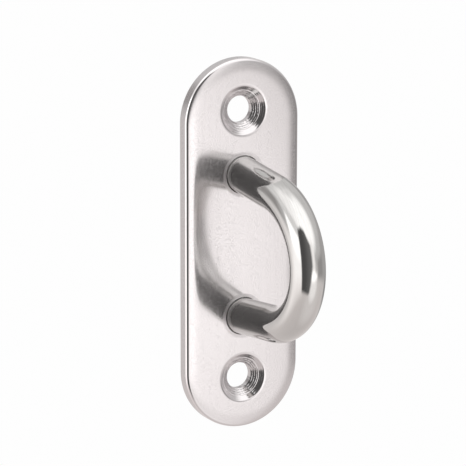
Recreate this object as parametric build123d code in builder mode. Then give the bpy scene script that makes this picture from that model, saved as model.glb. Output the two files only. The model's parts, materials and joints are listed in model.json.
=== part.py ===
from build123d import *
from math import atan, cos, degrees, pi, radians, sin, tan
import os

# Pad eye: an obround stainless plate with a bent rod passed through it and plug-welded at the back.
# Millimetres. The origin is the centre of the plate's back face. +Z runs along the plate and +X across it.
# +Y points out of the back face, into whatever the plate is screwed to. The eye stands out towards -Y.

# Plate
plate_length = 60.0
plate_width = 20.0
plate_thickness = 2.5
roll_width = 2.0  # the rounded front edge reaches this far in from the outline
roll_depth = 0.75  # and drops this far below the front face
back_edge_break = 0.15

# Countersunk screw holes, for 4 mm screws
screw_spacing = 43.5
screw_hole_diameter = 4.3
countersink_diameter = 7.2  # before its rim is rounded
countersink_angle = 90.0
countersink_rim_radius = 1.0

# Eye rod: two straight legs that lean towards each other and run tangent into an elliptical crown
rod_diameter = 5.86
draw_down = 0.30  # the rod gets this much thinner at the top of the bend
leg_spacing = 23.0  # between the leg axes, at the front face
leg_lean = 6.0
crown_rise = 12.0  # the crown's semi-axis away from the plate
crown_half_width = 10.5  # the crown's semi-axis along the plate
crown_steps = 8  # cross-sections along the crown
rod_end_chamfer = 0.25

# Leg holes and the plug welds behind them
leg_hole_diameter = 6.04
leg_hole_rim_radius = 0.12
weld_mouth_diameter = 8.4
weld_depth = 1.2
rod_end_setback = 0.8  # the rod stops this far short of the back face, measured on its axis
weld_setback = 0.04  # the weld is ground just below the back face, so the plate rests flat

# Worked out from the dimensions above
lean = radians(leg_lean)
tangent_angle = atan(crown_rise * tan(lean) / crown_half_width)
bend_z = crown_half_width * cos(tangent_angle)
leg_length = (leg_spacing / 2 - bend_z) / sin(lean)
bend_y = -plate_thickness - leg_length * cos(lean)
crown_centre_y = bend_y + crown_rise * sin(tangent_angle)
buried_length = (plate_thickness - rod_end_setback) / cos(lean)
weld_centre_z = leg_spacing / 2 + plate_thickness * tan(lean)
half_width = plate_width / 2
end_centre_z = plate_length / 2 - half_width

front_face_plane = Plane(origin=(0, -plate_thickness, 0), x_dir=(1, 0, 0), z_dir=(0, -1, 0))


def leg_plane(side):
    """Across a leg's axis at the front face, looking out along the leg. side is 1 for the upper leg."""
    foot = (0, -plate_thickness, side * leg_spacing / 2)
    return Plane(origin=foot, x_dir=(1, 0, 0), z_dir=(0, -cos(lean), -side * sin(lean)))


def weld_plane(side, setback=0.0):
    """Parallel to the back face, centred on a weld and looking into the plate."""
    return Plane(origin=(0, -setback, side * weld_centre_z), x_dir=(1, 0, 0), z_dir=(0, -1, 0))


def plate_half_section(z):
    """Half of the plate's cross-section at height z, with its rolled front edge and broken back edge."""
    roll_y = roll_depth - plate_thickness
    with BuildSketch(Plane.XY.offset(z)) as section:
        with BuildLine():
            Polyline(
                (0, -plate_thickness),
                (0, 0),
                (half_width - back_edge_break, 0),
                (half_width, -back_edge_break),
                (half_width, roll_y),
            )
            EllipticalCenterArc(
                (half_width - roll_width, roll_y), roll_width, roll_depth, start_angle=0, arc_size=-90
            )
            Line((half_width - roll_width, -plate_thickness), (0, -plate_thickness))
        make_face()
    return section.sketch


def weld_recess(setback=0.0, mode=Mode.ADD):
    """The 45 degree cone behind a leg hole that the weld fills, from setback below the back face."""
    mouth_radius = weld_mouth_diameter / 2 - setback
    height = weld_depth - setback
    narrow_radius = mouth_radius - height
    align = (Align.CENTER, Align.CENTER, Align.MIN)
    Cone(mouth_radius, narrow_radius, height, align=align, mode=mode)


os.makedirs("parts", exist_ok=True)

# The eye: one bent rod
with BuildPart() as eye_bow:
    with BuildLine(Plane.YZ):
        crown = EllipticalCenterArc(
            (crown_centre_y, 0),
            crown_rise,
            crown_half_width,
            start_angle=90 + degrees(tangent_angle),
            arc_size=180 - 2 * degrees(tangent_angle),
        )
    for step in range(crown_steps + 1):
        place = step / crown_steps
        with BuildSketch(crown ^ place):
            Circle((rod_diameter - draw_down * sin(pi * place) ** 2) / 2)
    sweep(path=crown, multisection=True)
    for side in (1, -1):
        with BuildSketch(leg_plane(side).offset(-buried_length)):
            Circle(rod_diameter / 2)
        extrude(amount=buried_length + leg_length)
    chamfer(eye_bow.faces().filter_by(GeomType.PLANE).edges(), rod_end_chamfer)
eye_bow.part.label = "eye_bow"
export_step(eye_bow.part, "parts/eye_bow.step")

# The plate
with BuildPart() as base_plate:
    extrude(plate_half_section(-end_centre_z), amount=2 * end_centre_z)
    mirror(about=Plane.YZ)
    for side in (1, -1):
        end_axis = Axis((0, 0, side * end_centre_z), (0, -side, 0))
        revolve(plate_half_section(side * end_centre_z), axis=end_axis, revolution_arc=180)
    with Locations(front_face_plane):
        with Locations((0, screw_spacing / 2), (0, -screw_spacing / 2)):
            CounterSinkHole(
                screw_hole_diameter / 2, countersink_diameter / 2, counter_sink_angle=countersink_angle
            )
    for side in (1, -1):
        with BuildSketch(leg_plane(side)):
            Circle(leg_hole_diameter / 2)
        extrude(amount=2 * plate_thickness, both=True, mode=Mode.SUBTRACT)
        with Locations(weld_plane(side)):
            weld_recess(mode=Mode.SUBTRACT)
    # The countersinks' rims are circles. The legs lean, so the rims of their holes are ellipses.
    for rim, rim_radius in (
        (GeomType.CIRCLE, countersink_rim_radius),
        (GeomType.ELLIPSE, leg_hole_rim_radius),
    ):
        front_face = base_plate.faces().sort_by(Axis.Y)[0]
        fillet(front_face.inner_wires().edges().filter_by(rim), rim_radius)
base_plate.part.label = "base_plate"
export_step(base_plate.part, "parts/base_plate.step")

# The plug weld at the back of the upper leg
with BuildPart() as upper_weld:
    with Locations(weld_plane(1, weld_setback)):
        weld_recess(weld_setback)
    add(eye_bow.part, mode=Mode.SUBTRACT)
upper_weld.part.label = "upper_weld"
export_step(upper_weld.part, "parts/upper_weld.step")

# The plug weld at the back of the lower leg
with BuildPart() as lower_weld:
    with Locations(weld_plane(-1, weld_setback)):
        weld_recess(weld_setback)
    add(eye_bow.part, mode=Mode.SUBTRACT)
lower_weld.part.label = "lower_weld"
export_step(lower_weld.part, "parts/lower_weld.step")
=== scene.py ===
from functools import partial
import json
import math

import bpy
import numpy as np
from mathutils import Matrix, Vector
from mathutils.geometry import delaunay_2d_cdt


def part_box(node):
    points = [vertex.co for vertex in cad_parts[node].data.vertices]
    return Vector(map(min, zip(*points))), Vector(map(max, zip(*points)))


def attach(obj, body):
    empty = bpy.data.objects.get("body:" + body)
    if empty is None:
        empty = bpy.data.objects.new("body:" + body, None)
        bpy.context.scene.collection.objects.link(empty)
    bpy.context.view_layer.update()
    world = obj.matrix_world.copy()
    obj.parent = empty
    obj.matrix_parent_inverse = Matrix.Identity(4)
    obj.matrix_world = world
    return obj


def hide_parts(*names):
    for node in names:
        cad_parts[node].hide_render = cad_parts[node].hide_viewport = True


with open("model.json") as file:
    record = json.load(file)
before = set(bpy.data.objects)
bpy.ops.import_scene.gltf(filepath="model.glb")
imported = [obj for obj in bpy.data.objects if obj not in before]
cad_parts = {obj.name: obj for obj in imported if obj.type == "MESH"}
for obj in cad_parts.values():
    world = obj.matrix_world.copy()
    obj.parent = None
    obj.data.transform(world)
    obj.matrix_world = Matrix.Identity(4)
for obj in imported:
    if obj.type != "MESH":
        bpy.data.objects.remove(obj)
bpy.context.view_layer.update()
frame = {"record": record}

MM = 0.001
DEGREE = math.pi / 180
BODY = "root"

# ---------------------------------------------------------------- sizes, from the frame where it has them
plate_low, plate_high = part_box("base_plate")
half_width = plate_high.x
half_length = plate_high.z
thickness = -plate_low.y
end_centre = half_length - half_width
screw_mount = next(m for m in frame["record"]["mounts"] if m["name"] == "screw_holes")
screw_radius = screw_mount["dims"]["hole_r_mm"] * MM
screw_offset = screw_mount["dims"]["spacing_y_mm"] * MM / 2

rod_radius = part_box("eye_bow")[1].x
draw_down = 0.15 * MM  # the rod's radius is this much smaller at the top of the bend
lean = 6.0 * DEGREE
leg_offset = 11.5 * MM  # from the middle of the plate to a leg's axis, at the front face
crown_half_width = 10.5 * MM
crown_rise = 12.0 * MM
rod_end_setback = 0.8 * MM
rod_end_chamfer = 0.25 * MM

roll_depth = 0.70 * MM  # from the front face down to the side wall
corner_radius = 0.55 * MM  # the tight part of the rolled edge, next to the wall
corner_turn = 76 * DEGREE
easing_width = 2.6 * MM  # the rest of the roll, which eases into the face
face_crown = 0.12 * MM  # the face is this much lower at the plate's long edges
back_edge_radius = 0.15 * MM
hole_back_radius = 0.08 * MM
countersink_radius = 3.84 * MM  # where its rounded rim ends and the cone begins
countersink_lip = (0.48 * MM, 0.12 * MM)  # the rounded rim's width and depth
leg_hole_lip = (0.04 * MM, 0.06 * MM)
ridge_height = 0.009 * MM  # the countersink cutter's marks, inside the ledge
ridge_pitch = 0.40 * MM
faint_ridge_height = 0.3 * ridge_height  # the marks outside the ledge, and the drill's on the wall
fine_ridge_share = 0.35  # finer marks lie over the first: how high they are beside those
fine_ridge_rate = 2.3  # and how much closer together
countersink_half_angle = 47 * DEGREE
drilled_radius = 3.15 * MM  # inside this, the cone is a little flatter and has the cutter's marks
drilled_half_angle = 50 * DEGREE
ledge = 0.07 * MM  # the nearly flat step between the two cones
ledge_drop = 0.1 * ledge
leg_hole_radius = 3.06 * MM
weld_mouth = 4.2 * MM
weld_depth = 1.2 * MM
weld_setback = 0.04 * MM
weld_dish = 0.03 * MM  # the ground face of a weld is this much lower in the middle
weld_ripple = 0.018 * MM  # what is left of the bead's ripples
face_grid = 0.8 * MM  # between the points inside the crowned face

# The crown's ellipse is tangent to the leaning legs
tangent_angle = math.atan(crown_rise * math.tan(lean) / crown_half_width)
bend_z = crown_half_width * math.cos(tangent_angle)
leg_length = (leg_offset - bend_z) / math.sin(lean)
bend_y = -thickness - leg_length * math.cos(lean)
crown_centre_y = bend_y + crown_rise * math.sin(tangent_angle)
weld_centre_z = leg_offset + thickness * math.tan(lean)


# ---------------------------------------------------------------- mesh building
class Skin:
    """Points with their exact surface normals, and the faces between them."""

    def __init__(self):
        self.points = []
        self.normals = []
        self.faces = []

    def ring(self, points, normals):
        first = len(self.points)
        self.points += [tuple(p) for p in points]
        self.normals += [tuple(n) for n in normals]
        return list(range(first, len(self.points)))

    def band(self, ring_a, ring_b):
        count = len(ring_a)
        for i in range(count):
            j = (i + 1) % count
            self.faces.append((ring_a[i], ring_a[j], ring_b[j], ring_b[i]))

    def cap(self, ring, centre, normal):
        middle = self.ring([centre], [normal])[0]
        for i in range(len(ring)):
            self.faces.append((ring[i], ring[(i + 1) % len(ring)], middle))

    def flat(self, outer, holes, spacing=None):
        """Fills the face between the outer ring and the hole rings, all parallel to the X-Z plane.

        spacing sets a grid of points inside the face, so that it can be crowned."""
        rings = [outer] + holes
        outlines = [np.array([(self.points[i][0], self.points[i][2]) for i in ring]) for ring in rings]
        index = [i for ring in rings for i in ring]
        edges, first = [], 0
        for ring in rings:
            count = len(ring)
            edges += [(first + i, first + (i + 1) % count) for i in range(count)]
            first += count
        if spacing:
            y = self.points[outer[0]][1]
            inner = [(x, y, z) for x, z in grid_points(outlines, spacing)]
            index += self.ring(inner, [self.normals[outer[0]]] * len(inner))
        corners = [Vector((self.points[i][0], self.points[i][2])) / MM for i in index]
        _, _, triangles, origins, _, _ = delaunay_2d_cdt(corners, edges, [], 0, 1e-7)
        for triangle in triangles:
            own = [origins[i][0] for i in triangle]
            centre = sum((corners[i] for i in own), Vector((0, 0))) / 3 * MM
            if on_face(centre, outlines):
                self.faces.append(tuple(index[i] for i in own))

    def lower(self, drop, slope):
        """Thins the piece towards its back face: drop(x) off the full thickness, with drop's slope(x)."""
        for i, (x, y, z) in enumerate(self.points):
            keep = 1 - drop(x) / thickness
            nx, ny, nz = self.normals[i]
            self.points[i] = (x, y * keep, z)
            turned = Vector((nx + y / thickness * slope(x) * ny / keep, ny / keep, nz))
            self.normals[i] = tuple(turned.normalized())

    def turn_faces(self):
        """Winds every face so that it looks the way its corners' normals do."""
        for corners in (3, 4):
            chosen = [k for k, face in enumerate(self.faces) if len(face) == corners]
            if not chosen:
                continue
            faces = np.array([self.faces[k] for k in chosen])
            points = np.array(self.points)[faces]
            diagonal = points[:, 2] - points[:, 0]
            across = np.cross(points[:, 1] - points[:, 0], diagonal)
            across += np.cross(diagonal, points[:, -1] - points[:, 0])
            facing = (across * np.array(self.normals)[faces].sum(1)).sum(1)
            for k, away in zip(chosen, facing < 0):
                if away:
                    self.faces[k] = tuple(reversed(self.faces[k]))

    def build(self, name, material, node):
        self.turn_faces()
        mesh = bpy.data.meshes.new(name)
        mesh.from_pydata(self.points, [], self.faces)
        mesh.polygons.foreach_set("use_smooth", [True] * len(self.faces))
        mesh.normals_split_custom_set_from_vertices(self.normals)
        mesh.materials.append(material)
        piece = bpy.data.objects.new(name, mesh)
        bpy.context.scene.collection.objects.link(piece)
        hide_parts(node)
        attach(piece, BODY)
        return piece


def inside(point, outline):
    """True if a 2-D point is inside a closed outline."""
    ahead = np.roll(outline, -1, axis=0)
    crosses = (outline[:, 1] > point[1]) != (ahead[:, 1] > point[1])
    a, b = outline[crosses], ahead[crosses]
    x = a[:, 0] + (point[1] - a[:, 1]) / (b[:, 1] - a[:, 1]) * (b[:, 0] - a[:, 0])
    return bool((x > point[0]).sum() % 2)


def clear_of(point, outline, gap):
    """True if a 2-D point is more than gap away from every corner of an outline."""
    return bool(np.hypot(*(outline - point).T).min() > gap)


def on_face(point, outlines):
    """True if a 2-D point is inside the first outline and outside the others, which are holes."""
    return inside(point, outlines[0]) and not any(inside(point, hole) for hole in outlines[1:])


def grid_points(outlines, spacing):
    """The 2-D points of a square grid that lie on a face and clear of its outlines."""
    low, high = outlines[0].min(0), outlines[0].max(0)
    across = np.arange(low[0] + spacing, high[0], spacing)
    along = np.arange(low[1] + spacing, high[1], spacing)
    grid = [np.array((x, z)) for x in across for z in along]
    clear = [p for p in grid if all(clear_of(p, outline, spacing / 2) for outline in outlines)]
    return [p for p in clear if on_face(p, outlines)]


def unit(x, y):
    length = math.hypot(x, y)
    return x / length, y / length


# ---------------------------------------------------------------- the plate
END_STEPS = 96
SIDE_STEPS = 40
EASING_STEPS = 28
CORNER_STEPS = 32
BACK_EDGE_STEPS = 6
HOLE_STEPS = 144
LIP_STEPS = 12
CONE_STEPS = 96
WALL_STEPS = 56
HOLE_BACK_STEPS = 5


def outline_ring(skin, inset, y, outward, forward):
    """A ring round the plate's outline, moved in by inset. outward and forward are the normal's parts."""
    radius = half_width - inset
    places, ways = [], []
    for side in (1, -1):
        start = 0 if side > 0 else math.pi
        for i in range(END_STEPS + 1):
            a = start + math.pi * i / END_STEPS
            places.append((radius * math.cos(a), side * end_centre + radius * math.sin(a)))
            ways.append((math.cos(a), math.sin(a)))
        for i in range(1, SIDE_STEPS):
            z = side * end_centre * (1 - 2 * i / SIDE_STEPS)
            places.append((-side * radius, z))
            ways.append((-side, 0))
    points = [(x, y, z) for x, z in places]
    normals = [(outward * x, -forward, outward * z) for x, z in ways]
    return skin.ring(points, normals)


def edge_profile():
    """The plate's edge from the front face round to the back: (inset, y, outward, forward)."""
    profile = []
    corner_inset = corner_radius * (1 - math.cos(corner_turn))
    easing_depth = roll_depth - corner_radius * math.sin(corner_turn)
    easing_slope = 1 / math.tan(corner_turn)
    power = easing_slope * easing_width / easing_depth
    for i in range(EASING_STEPS):
        share = i / EASING_STEPS
        drop = easing_depth * share**power
        inset = corner_inset + easing_width * (1 - share)
        profile.append((inset, drop - thickness, *unit(easing_slope * share ** (power - 1), 1)))
    for i in range(CORNER_STEPS + 1):
        a = corner_turn * (1 - i / CORNER_STEPS)
        y = roll_depth - corner_radius * math.sin(a) - thickness
        profile.append((corner_radius * (1 - math.cos(a)), y, math.cos(a), math.sin(a)))
    for i in range(BACK_EDGE_STEPS + 1):
        a = math.pi / 2 * i / BACK_EDGE_STEPS
        inset = back_edge_radius * (1 - math.cos(a))
        y = back_edge_radius * (math.sin(a) - 1)
        profile.append((inset, y, math.cos(a), -math.sin(a)))
    return profile


def turned_ring(skin, centre_z, radius, y, inward, forward, shift=0.0):
    """A ring round a hole's axis. inward is the part of the normal that points at the axis."""
    angles = [2 * math.pi * i / HOLE_STEPS for i in range(HOLE_STEPS)]
    points = [(radius * math.cos(a), y, centre_z + shift + radius * math.sin(a)) for a in angles]
    normals = [(-inward * math.cos(a), -forward, -inward * math.sin(a)) for a in angles]
    return skin.ring(points, normals)


def lip_profile(radius, lip, turn):
    """The rounded rim of a hole, from the front face down to where it has turned by turn: (radius, y)."""
    width, depth = lip
    reach = math.atan2(math.sin(turn) * width, math.cos(turn) * depth)
    profile = []
    for i in range(LIP_STEPS + 1):
        a = reach * i / LIP_STEPS
        inward = width * (math.sin(a) - math.sin(reach))
        profile.append((radius - inward, -thickness + depth * (1 - math.cos(a))))
    return profile


def countersink_profile():
    """A countersunk hole from the front face to the back: (radius, y). A ledge parts its cone in two."""
    outer_end = drilled_radius + ledge
    profile = lip_profile(countersink_radius, countersink_lip, math.pi / 2 - countersink_half_angle)
    profile += cone_profile(profile[-1], outer_end, countersink_half_angle, faint_ridge_height)
    profile.append((drilled_radius, profile[-1][1] + ledge_drop))
    profile += cone_profile(profile[-1], screw_radius, drilled_half_angle, ridge_height)
    return profile + wall_profile(profile[-1][1])


def cone_profile(start, end_radius, half_angle, height):
    """Points down a cone from just after start to end_radius, with ridges of a height: (radius, y)."""
    radius, y = start
    inward, deeper = math.sin(half_angle), math.cos(half_angle)
    length = (radius - end_radius) / inward
    points = []
    for i in range(1, CONE_STEPS + 1):
        along = length * i / CONE_STEPS
        wave = height * ridge_wave(along, length)
        points.append((radius - along * inward - wave * deeper, y + along * deeper - wave * inward))
    return points


def wall_profile(top):
    """A screw hole's wall from height top to the back face, with its back edge rounded: (radius, y)."""
    length = -hole_back_radius - top
    points = []
    for i in range(1, WALL_STEPS + 1):
        along = length * i / WALL_STEPS
        points.append((screw_radius + faint_ridge_height * ridge_wave(along, length), top + along))
    for i in range(1, HOLE_BACK_STEPS + 1):
        a = math.pi / 2 * i / HOLE_BACK_STEPS
        radius = screw_radius + hole_back_radius * (1 - math.cos(a))
        points.append((radius, hole_back_radius * (math.sin(a) - 1)))
    return points


def ridge_wave(along, length):
    """The height of uneven turning ridges, about -1 to 1, fading out at both ends of a length."""
    fade_width = ridge_pitch / 4
    fade = max(0, min(1, along / fade_width, (length - along) / fade_width))
    turn = 2 * math.pi * along / ridge_pitch
    return fade * (math.sin(turn) + fine_ridge_share * math.sin(fine_ridge_rate * turn))


def leg_hole_profile():
    """A leg hole from the front face to the back: (radius, y), with the weld's cone behind it."""
    profile = lip_profile(leg_hole_radius, leg_hole_lip, math.pi / 2)
    lip_y = profile[-1][1]
    floor_radius = weld_mouth - weld_depth
    for share in (0.25, 0.5, 0.75, 1):
        profile.append((leg_hole_radius, lip_y + share * (-weld_depth - lip_y)))
    profile.append((floor_radius, -weld_depth))
    for share in (0.25, 0.5, 0.75, 1):
        profile.append((floor_radius + share * weld_depth, -weld_depth * (1 - share)))
    return profile


def no_shift(y):
    """For an axis that runs straight along Y."""
    return 0.0


def lean_shift(side, y):
    """How far a leg's axis has moved along Z at height y, from where it leaves the front face."""
    return side * (y + thickness) * math.tan(lean)


def turned_surface(skin, centre_z, profile, shift=no_shift):
    """Rings along a turned profile, joined up. Gives its first and last ring.

    Its two ends lie on the front and back faces, and have those faces' normals."""
    rings = []
    for i, (radius, y) in enumerate(profile):
        before, after = profile[max(i - 1, 0)], profile[min(i + 1, len(profile) - 1)]
        along_r, along_y = unit(after[0] - before[0], after[1] - before[1])
        inward, forward = along_y, -along_r
        if i == 0:
            inward, forward = 0.0, 1.0
        if i == len(profile) - 1:
            inward, forward = 0.0, -1.0
        rings.append(turned_ring(skin, centre_z, radius, y, inward, forward, shift(y)))
    for a, b in zip(rings, rings[1:]):
        skin.band(a, b)
    return rings[0], rings[-1]


def make_plate(material):
    """The plate, with its rolled edge, crowned face, countersinks and leg holes."""
    skin = Skin()
    rings = [outline_ring(skin, *row) for row in edge_profile()]
    for a, b in zip(rings, rings[1:]):
        skin.band(a, b)
    front, back = [], []
    for side in (1, -1):
        first, last = turned_surface(skin, side * screw_offset, countersink_profile())
        front.append(first)
        back.append(last)
    for side in (1, -1):
        first, last = turned_surface(skin, side * leg_offset, leg_hole_profile(), partial(lean_shift, side))
        front.append(first)
        back.append(last)
    skin.flat(rings[0], front, face_grid)
    skin.flat(rings[-1], back)
    skin.lower(lambda x: face_crown * (x / half_width) ** 2, lambda x: 2 * face_crown * x / half_width**2)
    return skin.build("rolled_plate", material, "base_plate")


# ---------------------------------------------------------------- the rod
ROD_STEPS = 128
CROWN_STEPS = 240
LEG_STEPS = 24


def rod_path():
    """Points down the rod's axis: (y, z, outward y, outward z, radius)."""
    half = []
    start = -(thickness - rod_end_setback) / math.cos(lean)
    for i in range(LEG_STEPS):
        along = start + (leg_length - start) * i / LEG_STEPS
        y = -thickness - along * math.cos(lean)
        half.append((y, leg_offset - along * math.sin(lean), -math.sin(lean), math.cos(lean), rod_radius))
    sweep = math.pi - 2 * tangent_angle
    angles = [tangent_angle + sweep * i / CROWN_STEPS for i in range(CROWN_STEPS + 1)]
    arc = [(crown_centre_y - crown_rise * math.sin(a), crown_half_width * math.cos(a)) for a in angles]
    lengths = [0.0]
    for a, b in zip(arc, arc[1:]):
        lengths.append(lengths[-1] + math.dist(a, b))
    middle = []
    for a, (y, z), length in zip(angles, arc, lengths):
        out_y, out_z = unit(-math.sin(a) / crown_rise, math.cos(a) / crown_half_width)
        radius = rod_radius - draw_down * math.sin(math.pi * length / lengths[-1]) ** 2
        middle.append((y, z, out_y, out_z, radius))
    mirrored = [(y, -z, out_y, -out_z, radius) for y, z, out_y, out_z, radius in reversed(half)]
    return half + middle + mirrored


def rod_ring(skin, y, z, out_y, out_z, radius, along=(0.0, 0.0), tilt=0.0):
    """A ring across the rod, whose normals are turned by tilt towards along, a direction in Y and Z."""
    c, s = math.cos(tilt), math.sin(tilt)
    points, normals = [], []
    for i in range(ROD_STEPS):
        a = 2 * math.pi * i / ROD_STEPS
        x, out = math.sin(a), math.cos(a)
        points.append((radius * x, y + radius * out * out_y, z + radius * out * out_z))
        normals.append((c * x, c * out * out_y + s * along[0], c * out * out_z + s * along[1]))
    return skin.ring(points, normals)


def make_rod(material):
    """The bent rod, with a chamfer at both ends."""
    skin = Skin()
    path = rod_path()
    tips = []
    for end, neighbour in ((0, 1), (-1, -2)):
        y, z, out_y, out_z, radius = path[end]
        along = unit(y - path[neighbour][0], z - path[neighbour][1])
        tip_radius = radius - rod_end_chamfer
        tips.append(rod_ring(skin, y, z, out_y, out_z, tip_radius, along, math.pi / 4))
        path[end] = (y - along[0] * rod_end_chamfer, z - along[1] * rod_end_chamfer, out_y, out_z, radius)
        face = rod_ring(skin, y, z, out_y, out_z, tip_radius, along, math.pi / 2)
        skin.cap(face, (0, y, z), (0, *along))
    body = [rod_ring(skin, *row) for row in path]
    body = [tips[0]] + body + [tips[1]]
    for a, b in zip(body, body[1:]):
        skin.band(a, b)
    return skin.build("bent_rod", material, "eye_bow")


# ---------------------------------------------------------------- the welds
WELD_RINGS = 40
WELD_STEPS = 144
WELD_SWIRLS = 22  # ripples round a weld
WELD_TWIST = 9  # how far they turn from its middle to its rim, in radians
WELD_BANDS = 7  # half waves from its middle to its rim


def weld_height(radius, a):
    """The height of a weld's back face at a radius and an angle: a ground dish with the bead's ripples."""
    share = radius / (weld_mouth - weld_setback)
    swirl = math.sin(WELD_SWIRLS * a + WELD_TWIST * share) * math.sin(math.pi * share) ** 2
    band = 0.5 * math.sin(WELD_BANDS * math.pi * share)
    dish = weld_dish * (1 - share**4)
    ripple = 0.5 * weld_ripple * (1 + (1 - share**6) * (swirl + band))
    return -weld_setback - dish - ripple


def weld_normal(radius, a):
    """The normal of a weld's back face, from its slopes in X and Z."""
    step = 0.01 * MM
    x, z = radius * math.cos(a), radius * math.sin(a)
    slope = []
    for dx, dz in ((step, 0), (0, step)):
        ahead = weld_height(math.hypot(x + dx, z + dz), math.atan2(z + dz, x + dx))
        behind = weld_height(math.hypot(x - dx, z - dz), math.atan2(z - dz, x - dx))
        slope.append((ahead - behind) / (2 * step))
    return Vector((-slope[0], 1, -slope[1])).normalized()


def make_weld(side, material):
    """The plug behind a leg: its ground back face, its cone, and its flat front end."""
    skin = Skin()
    centre_z = side * weld_centre_z
    mouth = weld_mouth - weld_setback
    angles = [2 * math.pi * i / WELD_STEPS for i in range(WELD_STEPS)]

    def circle(radius, y):
        return [(radius * math.cos(a), y, centre_z + radius * math.sin(a)) for a in angles]

    rings = []
    for i in range(WELD_RINGS, 0, -1):
        radius = mouth * i / WELD_RINGS
        heights = [weld_height(radius, a) for a in angles]
        points = [(x, height, z) for (x, _, z), height in zip(circle(radius, 0), heights)]
        rings.append(skin.ring(points, [weld_normal(radius, a) for a in angles]))
    for a, b in zip(rings, rings[1:]):
        skin.band(a, b)
    middle_y = weld_height(0.001 * MM, 0)
    skin.cap(rings[-1], (0, middle_y, centre_z), (0, 1, 0))

    mouth_y = skin.points[rings[0][0]][1]
    floor_radius = weld_mouth - weld_depth
    slant = math.sqrt(0.5)
    slant_normals = [(slant * math.cos(a), -slant, slant * math.sin(a)) for a in angles]
    top = skin.ring(circle(mouth, mouth_y), slant_normals)
    low = skin.ring(circle(floor_radius, -weld_depth), slant_normals)
    skin.band(top, low)
    floor = skin.ring(circle(floor_radius, -weld_depth), [(0, -1, 0)] * WELD_STEPS)
    skin.cap(floor, (0, -weld_depth, centre_z), (0, -1, 0))
    name = "upper" if side > 0 else "lower"
    return skin.build(f"{name}_weld_plug", material, f"{name}_weld")


# ---------------------------------------------------------------- shader nodes
BLACK = (0, 0, 0, 1)
WHITE = (1, 1, 1, 1)


class Nodes:
    """Short ways to add nodes to a node tree. A value is a number or another node's output."""

    def __init__(self, tree):
        self.tree = tree

    def add(self, kind, **settings):
        node = self.tree.nodes.new(kind)
        for name, value in settings.items():
            setattr(node, name, value)
        return node

    def put(self, socket, value):
        if isinstance(value, bpy.types.NodeSocket):
            self.tree.links.new(value, socket)
        else:
            socket.default_value = value

    def math(self, operation, a, b=0.0, c=0.0):
        node = self.add("ShaderNodeMath", operation=operation)
        for socket, value in zip(node.inputs, (a, b, c)):
            self.put(socket, value)
        return node.outputs[0]

    def smooth(self, value, low, high):
        """0 below low and 1 above high, with a soft step between. low may be above high."""
        node = self.add("ShaderNodeMapRange", interpolation_type="SMOOTHSTEP")
        self.put(node.inputs["Value"], value)
        self.put(node.inputs["From Min"], low)
        self.put(node.inputs["From Max"], high)
        return node.outputs[0]

    def colour(self, factor, a, b):
        node = self.add("ShaderNodeMix", data_type="RGBA")
        self.put(node.inputs[0], factor)
        self.put(node.inputs[6], a)
        self.put(node.inputs[7], b)
        return node.outputs[2]

    def ramp(self, value, stops):
        """A smooth grey curve through (place, level) stops, with places from 0 to 1."""
        node = self.add("ShaderNodeValToRGB")
        node.color_ramp.interpolation = "B_SPLINE"
        points = node.color_ramp.elements
        while len(points) < len(stops):
            points.new(0.5)
        for point, (place, level) in zip(points, stops):
            point.position = place
            point.color = (level, level, level, 1)
        self.put(node.inputs[0], value)
        return node.outputs[0]


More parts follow.
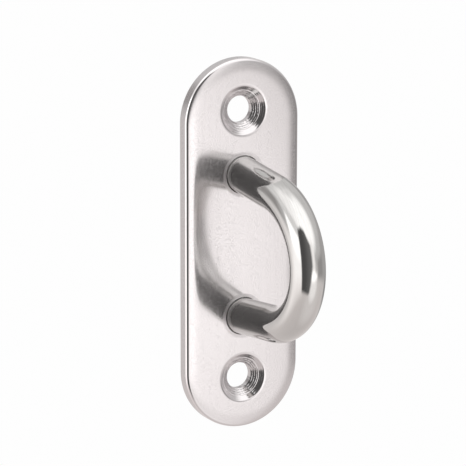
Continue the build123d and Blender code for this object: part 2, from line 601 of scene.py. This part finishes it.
# ---------------------------------------------------------------- materials
class Metal(Nodes):
    """A metal being put together from nodes. x, y and z are the shaded point's place in the part."""

    def __init__(self, name):
        self.material = bpy.data.materials.new(name)
        self.material.use_nodes = True
        super().__init__(self.material.node_tree)
        self.shader = self.tree.nodes["Principled BSDF"]
        self.place = self.add("ShaderNodeTexCoord").outputs["Object"]
        parts = self.add("ShaderNodeSeparateXYZ")
        self.put(parts.inputs[0], self.place)
        self.x, self.y, self.z = parts.outputs

    def grain(self, size, stretch=(1, 1, 1), detail=2.0):
        """Noise around 0.5 whose spots are about size across, drawn out along each axis by stretch."""
        scaled = self.add("ShaderNodeVectorMath", operation="DIVIDE")
        self.put(scaled.inputs[0], self.place)
        self.put(scaled.inputs[1], [size * times for times in stretch])
        return self.noise(scaled.outputs[0], detail)

    def noise(self, place, detail=2.0):
        """Noise around 0.5 whose spots are about 1 across at a place, given as a vector."""
        node = self.add("ShaderNodeTexNoise")
        self.put(node.inputs["Vector"], place)
        self.put(node.inputs["Scale"], 1.0)
        self.put(node.inputs["Detail"], detail)
        return node.outputs[0]

    def vector(self, *parts):
        node = self.add("ShaderNodeCombineXYZ")
        for socket, part in zip(node.inputs, parts):
            self.put(socket, part)
        return node.outputs[0]

    def blend(self, factor, a, b):
        """a where factor is 0 and b where it is 1."""
        return self.math("MULTIPLY_ADD", factor, self.math("SUBTRACT", b, a), a)

    def shift(self, value, noise, amount):
        """A value moved by up to about half of amount either way by a noise."""
        return self.math("MULTIPLY_ADD", self.math("SUBTRACT", noise, 0.5), amount, value)

    def hypotenuse(self, a, b):
        return self.math("SQRT", self.math("MULTIPLY_ADD", a, a, self.math("MULTIPLY", b, b)))

    def above_axis(self, offset):
        """How far the point is beyond the nearer of the two axes along Y at heights offset and -offset."""
        return self.math("SUBTRACT", self.math("ABSOLUTE", self.z), offset)

    def from_axes(self, offset):
        """The point's distance from the nearer of those two axes."""
        return self.hypotenuse(self.x, self.above_axis(offset))

    def turned_grain(self, offset, across, along):
        """Noise drawn out into arcs round those two axes, as a cutter leaves it."""
        angle = self.math("ARCTAN2", self.above_axis(offset), self.x)
        reach = drilled_radius / along
        outward = self.math("DIVIDE", self.from_axes(offset), across)
        sideways = self.math("MULTIPLY", self.math("COSINE", angle), reach)
        upwards = self.math("MULTIPLY", self.math("SINE", angle), reach)
        return self.noise(self.vector(outward, sideways, upwards))

    def bent_grain(self, across, along):
        """Noise drawn out along the bend of the rod, as a polishing belt leaves it."""
        forward = self.math("SUBTRACT", crown_centre_y, self.y)
        turn = self.math("ARCTAN2", self.z, forward)
        sideways = self.math("DIVIDE", self.x, across)
        outward = self.math("DIVIDE", self.hypotenuse(forward, self.z), across)
        lengthways = self.math("MULTIPLY", turn, crown_rise / along)
        return self.noise(self.vector(sideways, outward, lengthways), 3.0)

    def roughen(self, relief, pattern, height):
        """Adds a pattern of a height, in metres, to the fine relief."""
        return self.math("MULTIPLY_ADD", pattern, height, relief)

    def finish(self, colour, roughness, relief):
        """Connects the three parts of the look. relief is the fine height of the surface, in metres."""
        bump = self.add("ShaderNodeBump")
        self.put(bump.inputs["Distance"], 1.0)
        self.put(bump.inputs["Height"], relief)
        self.put(self.shader.inputs["Normal"], bump.outputs[0])
        self.put(self.shader.inputs["Metallic"], 1.0)
        self.put(self.shader.inputs["Roughness"], roughness)
        self.put(self.shader.inputs["Base Color"], colour)
        return self.material


def plate_steel():
    """Polished sheet with a painted highlight along the rim and painted shade in the countersinks' cutter
    marks, dull where the legs were welded in, brushed at the back.
    """
    metal = Metal("plate_steel")
    scratched = metal.smooth(metal.grain(0.018 * MM, (1, 1, 8), detail=1), 0.50, 0.64)
    peel = metal.grain(0.9 * MM)
    cloudy = metal.grain(9 * MM, detail=3)
    streaks = metal.grain(0.35 * MM, (1, 1, 14))

    # Where things are: each is 1 there and 0 elsewhere
    past_end = metal.math("MAXIMUM", metal.math("SUBTRACT", metal.math("ABSOLUTE", metal.z), end_centre), 0)
    inset = metal.math("SUBTRACT", half_width, metal.hypotenuse(metal.x, past_end))
    wall_top = roll_depth - thickness
    rolled = metal.smooth(metal.y, wall_top, wall_top - 0.12 * MM)
    # Painted highlight: the outer corner of the rolled rim gets a lighter colour, so that its reflection
    # reads brighter
    rim_highlight = metal.smooth(metal.shift(inset, peel, 0.1 * MM), 0.20 * MM, 0.08 * MM)
    rim_highlight = metal.math("MULTIPLY", rim_highlight, rolled)
    edge = metal.math("MULTIPLY", metal.smooth(inset, 0.70 * MM, 0.40 * MM), rolled)
    front = metal.smooth(metal.y, -0.9 * MM, -1.3 * MM)
    from_leg = metal.math("SUBTRACT", metal.from_axes(leg_offset), leg_hole_radius)
    ragged = metal.shift(from_leg, metal.grain(0.5 * MM), 0.35 * MM)
    foot = metal.math("MULTIPLY", metal.smooth(ragged, 0.75 * MM, 0.30 * MM), front)
    from_screw = metal.from_axes(screw_offset)
    cut = metal.smooth(from_screw, 4.2 * MM, 3.9 * MM)
    drilled = metal.smooth(from_screw, drilled_radius + 0.1 * MM, drilled_radius - 0.1 * MM)
    nicks = metal.turned_grain(screw_offset, 0.17 * MM, 0.63 * MM)
    # Painted shade: the cutter's marks inside the countersinks are real bumps, and their colour is also
    # darkened to stand for shade held in them
    chatter_shade = metal.math("MULTIPLY", drilled, metal.smooth(nicks, 0.54, 0.62))
    back = metal.smooth(metal.y, -0.4 * MM, -0.1 * MM)

    level = metal.shift(metal.shift(0.675, cloudy, 0.04), streaks, 0.02)
    # painted highlight along the rim
    level = metal.blend(rim_highlight, level, 0.90)
    level = metal.blend(foot, level, 0.72)
    # painted shade in the cutter's marks
    level = metal.blend(chatter_shade, level, 0.50)
    colour = metal.colour(level, BLACK, (1.0, 0.966, 0.970, 1))

    roughness = metal.blend(scratched, metal.shift(0.125, cloudy, 0.04), 0.42)
    roughness = metal.blend(edge, roughness, 0.07)
    roughness = metal.blend(cut, roughness, 0.12)
    roughness = metal.blend(drilled, roughness, metal.shift(0.13, nicks, 0.1))
    roughness = metal.blend(foot, roughness, metal.shift(0.42, peel, 0.2))
    roughness = metal.blend(back, roughness, metal.shift(0.28, streaks, 0.15))

    relief = metal.math("MULTIPLY", peel, 0.0006 * MM)
    relief = metal.roughen(relief, streaks, 0.00012 * MM)
    relief = metal.roughen(relief, metal.math("MULTIPLY", foot, metal.grain(0.16 * MM)), 0.006 * MM)
    relief = metal.roughen(relief, metal.math("MULTIPLY", drilled, nicks), 0.03 * MM)
    relief = metal.roughen(relief, metal.math("MULTIPLY", cut, nicks), 0.010 * MM)
    return metal.finish(colour, roughness, relief)


def rod_steel():
    """Polished rod with belt streaks along its bend and a faint haze, dull where its feet were welded."""
    metal = Metal("rod_steel")
    hazy = metal.smooth(metal.grain(0.016 * MM, (1, 6, 6), detail=1), 0.64, 0.76)
    hairline = metal.grain(0.08 * MM, (1, 14, 14))
    peel = metal.grain(0.7 * MM)
    drawn = metal.bent_grain(0.22 * MM, 2.4 * MM)
    cloudy = metal.grain(4 * MM, detail=3)
    off_plate = metal.math("SUBTRACT", -thickness, metal.y)
    ragged = metal.shift(off_plate, metal.grain(0.5 * MM), 0.4 * MM)
    foot = metal.smooth(ragged, 0.60 * MM, 0.30 * MM)
    top = metal.smooth(metal.z, 3 * MM, 9 * MM)

    level = metal.shift(metal.shift(0.67, cloudy, 0.05), hairline, 0.02)
    level = metal.shift(level, drawn, metal.math("MULTIPLY_ADD", top, 0.16, 0.04))
    level = metal.blend(foot, level, 0.95)
    colour = metal.colour(level, BLACK, (1.0, 0.99, 0.97, 1))

    polish = metal.math("MULTIPLY_ADD", top, 0.045, metal.shift(0.04, cloudy, 0.05))
    roughness = metal.blend(hazy, polish, 0.24)
    roughness = metal.blend(foot, roughness, metal.shift(0.42, peel, 0.2))

    relief = metal.math("MULTIPLY", peel, 0.0011 * MM)
    relief = metal.roughen(relief, drawn, 0.0010 * MM)
    relief = metal.roughen(relief, hairline, 0.00012 * MM)
    relief = metal.roughen(relief, metal.math("MULTIPLY", foot, metal.grain(0.16 * MM)), 0.005 * MM)
    return metal.finish(colour, roughness, relief)


def weld_metal():
    """Weld metal ground flush: dull, with grinding lines and small pits."""
    metal = Metal("weld_metal")
    lines = metal.grain(0.08 * MM, (25, 1, 1), detail=4)
    pits = metal.smooth(metal.grain(0.45 * MM), 0.36, 0.26)
    cloudy = metal.grain(1.6 * MM, detail=3)
    level = metal.shift(metal.shift(0.50, cloudy, 0.2), lines, 0.25)
    level = metal.blend(pits, level, 0.25)
    colour = metal.colour(level, BLACK, (1.0, 0.97, 0.93, 1))
    roughness = metal.blend(pits, metal.shift(0.36, lines, 0.2), 0.7)
    relief = metal.math("MULTIPLY", lines, 0.004 * MM)
    relief = metal.roughen(relief, pits, -0.03 * MM)
    return metal.finish(colour, roughness, relief)


# ---------------------------------------------------------------- stage
def warm(level, warmth):
    """A grey level tinted slightly pink, as the tent's cloth is: warmth is how far red stands over blue."""
    return (level * (1 + 0.8 * warmth), level, level * (1 - 0.2 * warmth), 1)


def towards(azimuth, elevation):
    """The direction at an azimuth and an elevation, in degrees."""
    a, e = azimuth * DEGREE, elevation * DEGREE
    return Vector((math.sin(a) * math.cos(e), -math.cos(a) * math.cos(e), math.sin(e)))


def make_world():
    """A light tent seen only in reflections: a softbox on the left, one overhead, a board, a lit card and a
    floor in front, and the dark slot that the camera looks through.

    Azimuth is 0 straight in front of the plate and grows towards +X. All angles are in degrees."""
    world = bpy.data.worlds.new("light_tent")
    bpy.context.scene.world = world
    world.use_nodes = True
    nodes = Nodes(world.node_tree)
    ray = nodes.add("ShaderNodeTexCoord").outputs["Generated"]
    parts = nodes.add("ShaderNodeSeparateXYZ")
    nodes.put(parts.inputs[0], ray)
    x, y, z = parts.outputs
    azimuth = nodes.math("DEGREES", nodes.math("ARCTAN2", x, nodes.math("MULTIPLY", y, -1)))
    elevation = nodes.math("DEGREES", nodes.math("ARCSINE", z))

    def band(angle, low, high, soft):
        """1 between two angles, fading over soft degrees on each side of both."""
        rise = nodes.smooth(angle, low - soft, low + soft)
        fall = nodes.smooth(angle, high + soft, high - soft)
        return nodes.math("MULTIPLY", rise, fall)

    def panel(colour, across, up, soft, level, warmth):
        """Lays a soft-edged panel over the tent. across and up are angle ranges, soft their softness."""
        mask = nodes.math("MULTIPLY", band(azimuth, *across, soft[0]), band(elevation, *up, soft[1]))
        return nodes.colour(mask, colour, warm(level, warmth))

    def pool(colour, centre, edge, core, level, warmth):
        """Lays a round pool of light over the tent, full inside core and gone outside edge."""
        lean_to = nodes.add("ShaderNodeVectorMath", operation="DOT_PRODUCT")
        nodes.put(lean_to.inputs[0], ray)
        nodes.put(lean_to.inputs[1], towards(*centre))
        mask = nodes.smooth(lean_to.outputs["Value"], math.cos(edge * DEGREE), math.cos(core * DEGREE))
        return nodes.colour(mask, colour, warm(level, warmth))

    # The cloth of the tent, by height
    height = nodes.math("MULTIPLY_ADD", elevation, 1 / 180, 0.5)
    cloth = [(0, 0.61), (0.2, 0.67), (0.36, 0.76), (0.5, 0.66), (0.57, 0.6)]
    cloth += [(0.68, 0.76), (0.8, 0.66), (0.88, 1.0), (1, 1.4)]
    tint = nodes.colour(nodes.smooth(elevation, 20, -40), warm(1, 0.02), warm(1, 0.09))
    tinted = nodes.add("ShaderNodeMix", data_type="RGBA", blend_type="MULTIPLY")
    nodes.put(tinted.inputs[0], 1.0)
    nodes.put(tinted.inputs[6], nodes.ramp(height, cloth))
    nodes.put(tinted.inputs[7], tint)
    colour = tinted.outputs[2]

    colour = panel(colour, (-150, -40), (30, 95), (20, 8), 0.93, 0.02)  # glow high on the left
    colour = panel(colour, (-150, -40), (47, 95), (25, 6), 1.27, 0.02)
    colour = panel(colour, (-140, -60), (-30, 2), (14, 12), 1.16, 0.06)  # and below the softbox
    colour = panel(colour, (-120, -60), (-16, 4), (7, 7), 1.34, 0.03)
    colour = panel(colour, (-112, -60), (1, 29), (4, 5), 1.65, 0.01)  # left softbox
    colour = panel(colour, (-164, -123), (7, 28), (8, 6), 0.38, 0.06)  # gaps in the cloth behind
    colour = panel(colour, (104, 140), (-26, 3), (7, 7), 0.33, 0.03)
    colour = panel(colour, (121, 144), (4, 22), (6, 5), 0.42, 0.03)
    colour = panel(colour, (38, 106), (-16, 7), (10, 6), 0.38, 0.04)  # and on the right
    colour = panel(colour, (78, 125), (-14, 14), (10, 6), 0.48, 0.04)
    colour = pool(colour, (10, 58), 50, 22, 1.50, 0.01)  # overhead softbox
    colour = pool(colour, (16, -52), 46, 5, 0.80, 0.07)  # floor in front
    colour = pool(colour, (10, -28), 29, 6, 1.12, 0.04)
    colour = panel(colour, (-14, 22), (-4, 36), (8, 9), 1.22, 0.03)  # a pale board in front
    colour = panel(colour, (-14, 33), (-17, -9), (7, 5), 1.58, 0.03)  # the lit card
    colour = panel(colour, (-14, 20), (-18, -5), (8, 8), 1.86, 0.03)  # and its brightest part

    # The camera slot, brighter towards its soft right side, with all its corners cut
    right_edge = nodes.math("MINIMUM", nodes.math("MULTIPLY_ADD", elevation, 0.45, 3), 4)
    right_edge = nodes.math("MINIMUM", right_edge, nodes.math("MULTIPLY_ADD", elevation, -1.2, 40))
    right_side = nodes.smooth(nodes.math("SUBTRACT", azimuth, right_edge), 8, -8)
    left_side = nodes.smooth(azimuth, -71, -61)
    top_edge = nodes.math("MINIMUM", nodes.math("MULTIPLY_ADD", azimuth, 0.5, 73), 51)
    top_side = nodes.smooth(nodes.math("SUBTRACT", elevation, top_edge), 4, -4)
    bottom_edge = nodes.math("MAXIMUM", nodes.math("MULTIPLY_ADD", azimuth, -0.2, -43), -38)
    bottom_side = nodes.smooth(nodes.math("SUBTRACT", elevation, bottom_edge), -4, 4)
    sides = nodes.math("MULTIPLY", right_side, left_side)
    ends = nodes.math("MULTIPLY", bottom_side, top_side)
    dark = nodes.colour(nodes.smooth(azimuth, -50, 0), warm(0.095, 0.02), warm(0.19, 0.02))
    colour = nodes.colour(nodes.math("MULTIPLY", sides, ends), colour, dark)

    seen = nodes.add("ShaderNodeLightPath").outputs["Is Camera Ray"]
    background = world.node_tree.nodes["Background"]
    nodes.put(background.inputs["Color"], nodes.colour(seen, colour, WHITE))


def make_floor():
    """A pale floor under the plate, lit so evenly that it shows no shadow. Reflections skip it."""
    material = bpy.data.materials.new("pale_floor")
    material.use_nodes = True
    nodes = Nodes(material.node_tree)
    glow = nodes.add("ShaderNodeEmission")
    nodes.put(glow.inputs["Color"], (0.99, 0.99, 0.99, 1))
    nodes.put(material.node_tree.nodes["Material Output"].inputs["Surface"], glow.outputs[0])
    mesh = bpy.data.meshes.new("floor")
    reach, level = 3.0, -half_length
    corners = [(reach * x, reach * y, level) for x, y in ((-1, -1), (1, -1), (1, 1), (-1, 1))]
    mesh.from_pydata(corners, [], [(0, 1, 2, 3)])
    mesh.materials.append(material)
    floor = bpy.data.objects.new("floor", mesh)
    bpy.context.scene.collection.objects.link(floor)
    floor.visible_glossy = False
    floor.visible_diffuse = False


def make_camera():
    """A camera with a long lens, to the left of the plate and a little above it."""
    azimuth, elevation, roll = -27.694, 12.76, 0.115 * DEGREE
    distance, side_shift, rise = 395.42 * MM, -0.492 * MM, 1.519 * MM
    back = towards(azimuth, elevation)
    right = Vector((0, 0, 1)).cross(back).normalized()
    up = back.cross(right)
    turned_right = right * math.cos(roll) + up * math.sin(roll)
    turned_up = up * math.cos(roll) - right * math.sin(roll)
    pose = Matrix((turned_right, turned_up, back)).transposed().to_4x4()
    pose.translation = turned_right * side_shift + turned_up * rise + back * distance
    camera = bpy.data.objects.new("camera", bpy.data.cameras.new("camera"))
    bpy.context.scene.collection.objects.link(camera)
    camera.matrix_world = pose
    camera.data.sensor_width = 36
    camera.data.lens = 191.3709
    camera.data.clip_start = 0.01
    camera.data.clip_end = 20
    bpy.context.scene.camera = camera


make_plate(plate_steel())
make_rod(rod_steel())
weld = weld_metal()
for side in (1, -1):
    make_weld(side, weld)
make_floor()
make_world()
make_camera()
bpy.context.scene.view_settings.view_transform = "Standard"
